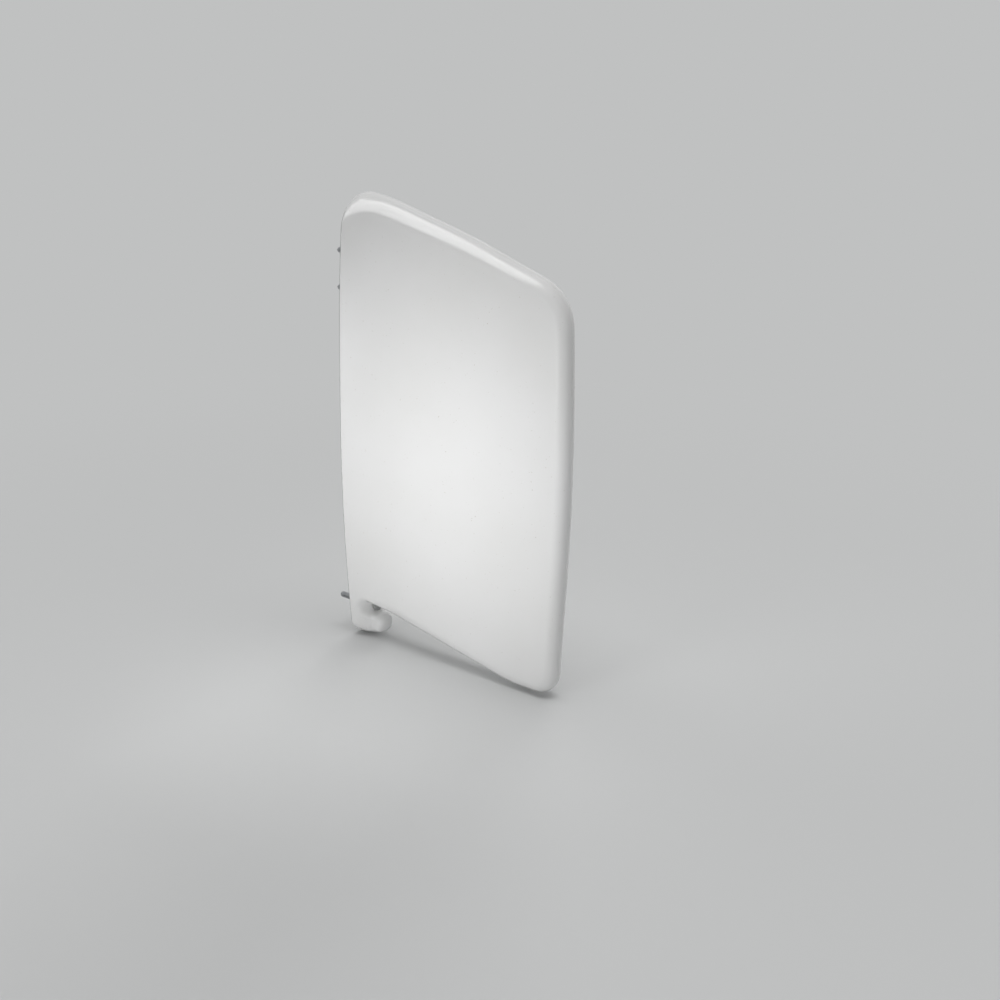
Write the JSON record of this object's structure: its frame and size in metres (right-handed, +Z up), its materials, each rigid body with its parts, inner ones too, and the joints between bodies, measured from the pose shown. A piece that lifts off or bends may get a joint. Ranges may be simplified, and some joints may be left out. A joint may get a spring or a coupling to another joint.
{
  "type": "urinal privacy screen",
  "caption": "White glazed ceramic privacy screen that hangs on a wall between urinals: a hollow blade with rounded rims, a flared back and a short lug below a slot.",
  "frame": {"origin": "on the wall, on the mid-plane of the screen, in the mouth of the upper of the two wall plugs of the hook that the body hangs on", "axes": "X along the wall, across the thickness of the screen; +Y into the wall, so the screen stands out towards -Y; +Z up"},
  "size_m": [0.108, 0.4653, 0.7347],
  "materials": {
    "glazed_china": "glossy white glaze",
    "seal_foam": "closed-cell foam, matte dark grey",
    "zinc_steel": "bright zinc plate",
    "black_rubber": "matte black rubber",
    "plug_nylon": "grey moulded nylon",
    "clear_nylon": "natural nylon",
    "cap_plastic": "glossy grey plastic"
  },
  "bodies": {
    "root": {"screen_body": "glazed_china", "wall_seal": "seal_foam", "hanger_hook": "zinc_steel", "hook_lining": "black_rubber", "wall_screws": "zinc_steel", "wall_washers": "zinc_steel", "wall_plugs": "plug_nylon", "foot_bush": "clear_nylon", "screw_cap": "cap_plastic"}
  },
  "joints": []
}
